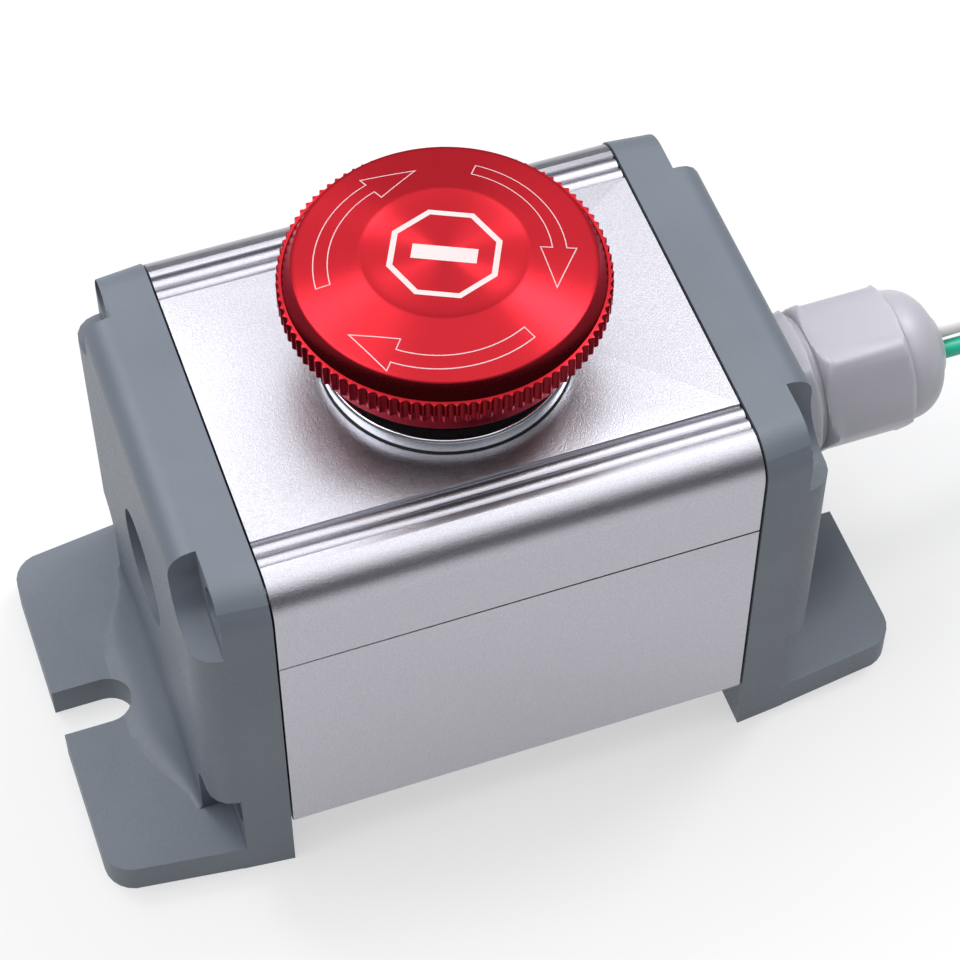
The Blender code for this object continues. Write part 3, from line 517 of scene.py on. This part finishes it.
def node_shape(frame, name):
    """A CAD node's own mesh, as a bmesh in millimetres."""
    bm = bmesh.new()
    bm.from_mesh(frame["nodes"][name].data)
    bmesh.ops.scale(bm, vec=(1 / MM, 1 / MM, 1 / MM), verts=bm.verts)
    return bm


def eased(share):
    """A share from 0 to 1 that starts and stops gently."""
    return share * share * (3 - 2 * share)


def rounded(profile, radius, steps=3):
    """The profile with each corner replaced by a small curve that cuts it off."""
    smooth = []
    for before, corner, after in zip(profile[-1:] + profile[:-1], profile, profile[1:] + profile[:1]):
        corner_at = Vector(corner)
        if corner[0] == 0:
            smooth.append(corner)
            continue
        ways = [Vector(before) - corner_at, Vector(after) - corner_at]
        cuts = [corner_at + way.normalized() * min(radius, way.length * 0.45) for way in ways]
        for step in range(steps + 1):
            t = step / steps
            spot = (1 - t) ** 2 * cuts[0] + 2 * t * (1 - t) * corner_at + t**2 * cuts[1]
            smooth.append(tuple(spot))
    return smooth


def catmull_rom(before, start, end, after, t):
    """The value at share t of the way from start to end, given the values either side of them."""
    slope = end - before
    bend = 2 * before - 5 * start + 4 * end - after
    twist = 3 * start - before - 3 * end + after
    return 0.5 * (2 * start + slope * t + bend * t**2 + twist * t**3)


def smooth_route(points, steps):
    """A Catmull-Rom curve through the points, steps to a span."""
    route = []
    padded = [points[0], *points, points[-1]]
    for span in zip(padded, padded[1:], padded[2:], padded[3:]):
        for step in range(steps):
            route.append(tuple(catmull_rom(*values, step / steps) for values in zip(*span)))
    return [*route, points[-1]]


def softened(frame, name, slot, finishes, width_mm, segments, angle=28):
    """A CAD node's own shape with its corners rounded over, shown in place of the node."""
    bm = node_shape(frame, name)
    bmesh.ops.remove_doubles(bm, verts=bm.verts, dist=0.002)
    bmesh.ops.dissolve_limit(bm, angle_limit=math.radians(1.0), verts=bm.verts, edges=bm.edges)
    made = place(f"{name}_finished", bm, "housing", slot, finishes, angle, [name])
    bevel = made.modifiers.new("edges", "BEVEL")
    bevel.width = width_mm * MM
    bevel.segments = segments
    bevel.limit_method = "ANGLE"
    bevel.angle_limit = math.radians(angle)
    bevel.harden_normals = True
    bevel.miter_outer = "MITER_ARC"


# ---------------------------------------------------------------- wires


def coil_route(side):
    """The wound-up length: in along the bottom layer, out along the top one."""
    route = []
    layer = len(COIL_TURN_RADII)
    inner = COIL_TURN_RADII[-1]
    for step in range(1, round((layer + COIL_TOP_TURNS) * COIL_STEPS) + 1):
        turn = step / COIL_STEPS
        if turn < layer:
            # Each turn moves in to the next one over its last quarter
            level = int(turn)
            share = max(0.0, (turn - level) * 4 - 3)
            following = COIL_TURN_RADII[min(level + 1, layer - 1)]
            radius = COIL_TURN_RADII[level] + (following - COIL_TURN_RADII[level]) * eased(share)
            lift = share if level == layer - 1 else 0.0
        else:
            radius = inner + (COIL_TURN_RADII[0] - inner) * (turn - layer) / COIL_TOP_TURNS
            lift = 1.0
        angle = math.radians(360 * turn - 90)
        height = WIRE_HEIGHT + 2 * WIRE_RADIUS * eased(lift)
        along = COIL_X + radius * math.cos(angle)
        across = side * (COIL_Y + radius * math.sin(angle))
        route.append((along, across, height))
    return route


def tail_route(side):
    """The last stretch, off the coil and down to the crimped end."""
    coil_end = COIL_X + COIL_TURN_RADII[0]
    return [(coil_end + x, side * (COIL_Y + y), z) for x, y, z in TAIL]


def make_wire(colour, side, lead, finishes):
    """One wire as a curve, from inside the gland to the crimped end."""
    lead_end = (LEAD_END[0], side * LEAD_END[1], WIRE_HEIGHT)
    points = smooth_route([*lead, lead_end], LEAD_STEPS)
    points += coil_route(side)
    points += tail_route(side)
    curve = bpy.data.curves.new(f"{colour}_wire", "CURVE")
    curve.dimensions = "3D"
    line = curve.splines.new("POLY")
    line.points.add(len(points) - 1)
    for spot, (x, y, z) in zip(line.points, points):
        spot.co = (x * MM, y * MM, z * MM, 1.0)
    curve.bevel_depth = WIRE_RADIUS * MM
    curve.bevel_resolution = 5
    curve.use_fill_caps = True
    curve.materials.append(finishes[f"{colour}_pvc"])
    wire = bpy.data.objects.new(f"{colour}_wire", curve)
    bpy.context.scene.collection.objects.link(wire)
    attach(wire, "housing")
    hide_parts(f"{colour}_lead", f"{colour}_coil")
    return wire


# ---------------------------------------------------------------- red head


def flute_reach(radius, height, angle):
    """Cuts the knurl's upright flutes into any point that stands out past their floor."""
    place_in_flute = (angle * FLUTES / math.tau) % 1.0 - 0.5
    depth = FLUTE_DEPTH * max(0.0, 1 - (place_in_flute / FLUTE_HALF_WIDTH) ** 2)
    return min(radius, HEAD_RADIUS - depth)


def top_height(radius):
    """The height of the head's top: a shallow dish inside a cone that falls to the edge."""
    if radius < DISH_RADIUS:
        return DISH_FLOOR + (CROWN_RIM - DISH_FLOOR) * (radius / DISH_RADIUS) ** DISH_EDGE_POWER
    return CROWN_RIM - CROWN_SLOPE * (radius - DISH_RADIUS)


def make_head(finishes):
    """The head in three turned pieces: the crown, the steep step below it, and the knurled rim."""
    crown = [(radius, top_height(radius)) for radius in DISH_RINGS + CONE_RINGS]
    crown += [
        (CROWN_RADIUS - 0.12, top_height(CROWN_RADIUS - 0.12)),
        (CROWN_RADIUS - 0.02, top_height(CROWN_RADIUS) - 0.06),
        (CROWN_RADIUS, top_height(CROWN_RADIUS) - 0.14),
        (CROWN_RADIUS - 0.1, CROWN_WALL_BOTTOM),
        (CROWN_RADIUS - 2.4, CROWN_UNDERSIDE),
        (0, CROWN_UNDERSIDE),
    ]
    crown_shape = turned(crown, HEAD_SEGMENTS)
    place("head_crown", crown_shape, "head", "red_anodised", finishes, HEAD_CREASE, ["mushroom_head"])
    step = [
        (CROWN_RADIUS - 0.03, CROWN_WALL_BOTTOM + 0.18),
        (CROWN_RADIUS + 0.05, CROWN_WALL_BOTTOM),
        (STEP_RADIUS - 0.08, KNURL_TOP + 0.17),
        (STEP_RADIUS + 0.06, KNURL_TOP + 0.02),
        (STEP_RADIUS + 0.06, STEP_WALL_BOTTOM),
        (CROWN_RADIUS - 1.0, STEP_WALL_BOTTOM),
    ]
    # The step's darker red is painted shade
    place("head_step", turned(step, HEAD_SEGMENTS), "head", "red_cut_painted_shade", finishes, HEAD_CREASE)
    rim = [
        (STEP_RADIUS - 0.1, KNURL_TOP),
        (STEP_RADIUS + 0.15, KNURL_TOP),
        (HEAD_RADIUS - 0.12, KNURL_TOP),
        (HEAD_RADIUS - 0.03, KNURL_TOP - 0.04),
        (HEAD_RADIUS, KNURL_TOP - 0.14),
        (HEAD_RADIUS, KNURL_BOTTOM + 0.25),
        (HEAD_RADIUS - 0.08, KNURL_BOTTOM + 0.1),
        (SKIRT_RADIUS + 0.08, KNURL_BOTTOM - 0.12),
        (SKIRT_RADIUS, KNURL_BOTTOM - 0.3),
        (SKIRT_RADIUS, HEAD_BOTTOM + 0.35),
        (SKIRT_RADIUS - 0.1, HEAD_BOTTOM + 0.1),
        (SKIRT_RADIUS - 0.35, HEAD_BOTTOM),
        (SKIRT_BORE + 0.3, HEAD_BOTTOM),
        (SKIRT_BORE, HEAD_BOTTOM + 0.3),
        (SKIRT_BORE, CEILING),
        (CROWN_RADIUS, STEP_WALL_BOTTOM - 0.1),
    ]
    knurl = turned(rim, FLUTES * FLUTE_STEPS, reach=flute_reach)
    # The flat ledge above the knurl has the crown's finish
    for face in knurl.faces:
        face.material_index = int(face.calc_center_median().z > KNURL_TOP - 0.03)
    # The flutes and skirt get the darker red, which is painted shade
    rim_piece = place("head_knurl", knurl, "head", "red_cut_painted_shade", finishes, KNURL_CREASE)
    rim_piece.data.materials.append(finishes["red_anodised"])


def arrow_outline(centre_x, centre_y, start):
    """One arrow curved about a centre, from its tail to its point, clockwise."""
    neck = start - ARROW_NECK_SWEEP
    inner, outer = ARROW_BAND
    barb_in, barb_out = ARROW_HEAD
    steps = 24
    outline = [(outer, start + (neck - start) * i / steps) for i in range(steps + 1)]
    outline += [(barb_out, neck), (ARROW_POINT, start - ARROW_SWEEP), (barb_in, neck)]
    outline += [(inner, neck + (start - neck) * i / steps) for i in range(steps + 1)]
    flat = []
    for radius, degrees in outline:
        angle = math.radians(degrees)
        flat.append((centre_x + radius * math.cos(angle), centre_y + radius * math.sin(angle)))
    return divided(flat)


def divided(outline):
    """The closed outline with its long sides cut into shorter ones, so it can follow the dish."""
    made = []
    for here, after in zip(outline, outline[1:] + outline[:1]):
        pieces = math.ceil(math.dist(here, after) / MARK_STEP)
        made += [tuple(Vector(here).lerp(Vector(after), i / pieces)) for i in range(pieces)]
    return made


def on_head(bm, x, y):
    """A point of a mark, just above the head's top."""
    return bm.verts.new((x, y, top_height(math.hypot(x, y)) + MARK_LIFT))


def add_line(bm, outline, width):
    """A closed ribbon that follows an outline on the head."""
    sharpest = 0.35
    pairs = []
    for before, spot, after in zip(outline[-1:] + outline[:-1], outline, outline[1:] + outline[:1]):
        here = Vector(spot)
        ways = [(here - Vector(before)).normalized(), (Vector(after) - here).normalized()]
        sides = [Vector((-way.y, way.x)) for way in ways]
        across = (sides[0] + sides[1]).normalized()
        across *= width / 2 / max(sharpest, across.dot(sides[0]))
        pairs.append([on_head(bm, *(here + sign * across)) for sign in (-1, 1)])
    for near, far in zip(pairs, pairs[1:] + pairs[:1]):
        bm.faces.new((near[0], far[0], far[1], near[1]))


def symbol_outline():
    """The stop symbol's octagon."""
    angles = [math.radians(22.5 + 45 * i + SYMBOL_TURN) for i in range(8)]
    return divided([(SYMBOL_RADIUS * math.cos(a), SYMBOL_RADIUS * math.sin(a)) for a in angles])


def add_bar(bm):
    """The flat bar in the middle of the octagon."""
    half_length, half_width = SYMBOL_BAR[0] / 2, SYMBOL_BAR[1] / 2
    turn = math.radians(SYMBOL_TURN)
    corners = []
    for along, up in ((-1, -1), (1, -1), (1, 1), (-1, 1)):
        x, y = along * half_length, up * half_width
        turned_x = x * math.cos(turn) - y * math.sin(turn)
        turned_y = x * math.sin(turn) + y * math.cos(turn)
        corners.append(on_head(bm, turned_x, turned_y))
    bm.faces.new(corners)


def make_marks(finishes):
    """Fine outlined arrows that show the way to turn, and a plain stop symbol in the dish."""
    arrows = bmesh.new()
    for arrow in ARROWS:
        add_line(arrows, arrow_outline(*arrow), ARROW_LINE)
    place("turn_arrows", arrows, "head", "fine_marks", finishes)
    symbol = bmesh.new()
    add_line(symbol, symbol_outline(), SYMBOL_LINE)
    add_bar(symbol)
    place("stop_symbol", symbol, "head", "marks", finishes)


# ---------------------------------------------------------------- bezel and gland


def make_bezel(finishes):
    """The chrome ring with its narrow rounded rim, on a thin dark gasket."""
    ring = [
        (BEZEL_BORE, BEZEL_BOTTOM),
        (BEZEL_RADIUS, BEZEL_BOTTOM),
        (BEZEL_RADIUS, BEZEL_TOP - 0.3),
        (BEZEL_RIM_RADIUS, BEZEL_TOP),
        (BEZEL_RIM_RADIUS - 0.4, BEZEL_TOP),
        (BEZEL_RIM_RADIUS - 0.7, BEZEL_TOP - 0.4),
        (BEZEL_RIM_RADIUS - 1.0, BEZEL_TOP - BEZEL_LIP),
        (BEZEL_BORE, BEZEL_TOP - BEZEL_LIP),
    ]
    shape = turned(rounded(ring, 0.15), BEZEL_SEGMENTS)
    place("bezel_polished", shape, "housing", "chrome", finishes, ROUND_CREASE, ["bezel_ring"])
    gasket_radius = BEZEL_RADIUS + GASKET_OVERHANG
    gasket_bottom = BOX_TOP + 0.02
    gasket = [
        (BEZEL_BORE, gasket_bottom),
        (gasket_radius, gasket_bottom),
        (gasket_radius, BEZEL_BOTTOM),
        (BEZEL_BORE, BEZEL_BOTTOM),
    ]
    shape = turned(gasket, BEZEL_SEGMENTS)
    place("gasket_moulded", shape, "housing", "rubber", finishes, ROUND_CREASE, ["panel_gasket"])


def hex_reach(radius, height, angle):
    """Turns radii beyond the hexagon's flats into the rounded hexagon."""
    if radius <= GLAND_FLAT + 0.05:
        return radius
    sixth = math.pi / 3
    flat = GLAND_FLAT / math.cos(angle % sixth - sixth / 2)
    if radius < GLAND_CORNER:
        return min(flat, radius)
    blend = flat**-HEXAGON_SHARPNESS + GLAND_CORNER**-HEXAGON_SHARPNESS
    return blend ** (-1 / HEXAGON_SHARPNESS)


def gland_body_profile():
    """The threaded body with its hexagon flange and the groove beside the dome nut."""
    return [
        (GLAND_BORE, GLAND_INSIDE_END),
        (GLAND_THREAD, GLAND_INSIDE_END),
        (GLAND_THREAD, FLANGE_START),
        (9.6, FLANGE_START),
        (10.2, FLANGE_START + 0.2),
        (GLAND_CUT, FLANGE_FLAT_START),
        (GLAND_CUT, FLANGE_FLAT_END),
        (10.3, 48.05),
        (9.9, 48.25),
        (9.4, 48.5),
        (GROOVE_RADIUS, GROOVE_START),
        (GROOVE_RADIUS, GROOVE_END),
        (GLAND_NECK, GROOVE_END + 0.4),
        (GLAND_NECK, GLAND_OUTSIDE_END),
        (GLAND_BORE, GLAND_OUTSIDE_END),
    ]


def dome_profile():
    """The dome, from the nut's flats to the wires' outlet."""
    profile = []
    for step in range(DOME_STEPS):
        turn = math.radians(DOME_STEP_DEGREES * step)
        radius = DOME_RADIUS * math.cos(turn) ** DOME_POWER
        if radius > OUTLET_RADIUS + 0.6:
            height = DOME_START + (DOME_END - DOME_START) * math.sin(turn) ** DOME_POWER
            profile.append((radius, height))
    return profile


def gland_nut_profile():
    """The dome nut: a turned shoulder, the hexagon's flats, the dome and the bore."""
    nut = [(NUT_BORE, 49.6), (9.15, 49.25), (9.5, 49.3), (9.9, 49.5), (10.3, 49.9), (10.6, 50.4)]
    nut += [(10.8, 50.9), (GLAND_CUT, NUT_FLAT_START), (GLAND_CUT, DOME_START - 1.2)]
    nut += [(10.2, DOME_START - 0.7), (9.6, DOME_START - 0.35), (9.2, DOME_START - 0.1)]
    nut += dome_profile()
    nut += [(OUTLET_RADIUS + 0.3, DOME_END), (OUTLET_RADIUS, DOME_END - 0.2)]
    nut += [(OUTLET_RADIUS, 67.7), (5.7, 66.2), (7.3, 64.0), (NUT_BORE, 61.5)]
    return nut


def make_gland(finishes):
    """The gland's body and its dome nut, both moulded in white nylon."""
    pieces = (
        ("gland_body_moulded", gland_body_profile(), "gland_body"),
        ("gland_nut_moulded", gland_nut_profile(), "gland_dome_nut"),
    )
    for name, profile, shown_for in pieces:
        shape = turned(profile, GLAND_SEGMENTS, "X", (0.0, GLAND_Z), hex_reach)
        place(name, shape, "housing", "white_nylon", finishes, ROUND_CREASE, [shown_for])


# ---------------------------------------------------------------- the rest


def finish_nodes(frame, finishes):
    """Gives each CAD node its slot's finish."""
    for part in frame["record"]["subparts"]:
        shown = frame["nodes"][part["node"]]
        shown.data.materials.clear()
        shown.data.materials.append(finishes[part["material_slot"]])


def soften_nodes(frame, finishes):
    """Rounds over the sharp edges of the caps and the extrusions."""
    for name in ("left_end_cap", "right_end_cap"):
        softened(frame, name, "grey_nylon", finishes, width_mm=0.45, segments=3)
    for name in ("upper_shell", "lower_shell"):
        softened(frame, name, "anodised_aluminium", finishes, width_mm=0.12, segments=2)


def make_springs(frame, finishes):
    """The two coil springs, shown with meshes of their own made from the CAD nodes' shapes."""
    for name, joint in SPRINGS.items():
        shape = node_shape(frame, name)
        coil = place(f"{name}_coil", shape, "housing", "steel", finishes, SPRING_CREASE, [name])
        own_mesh(coil)


def main():
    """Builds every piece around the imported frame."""
    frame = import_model()
    make_camera()
    make_studio()
    finishes = make_finishes()
    finish_nodes(frame, finishes)
    for colour, side, route in (("white", 1, WHITE_ROUTE), ("green", -1, GREEN_ROUTE)):
        wire = make_wire(colour, side, route, finishes)
    make_head(finishes)
    make_marks(finishes)
    make_bezel(finishes)
    make_gland(finishes)
    make_springs(frame, finishes)
    soften_nodes(frame, finishes)


main()
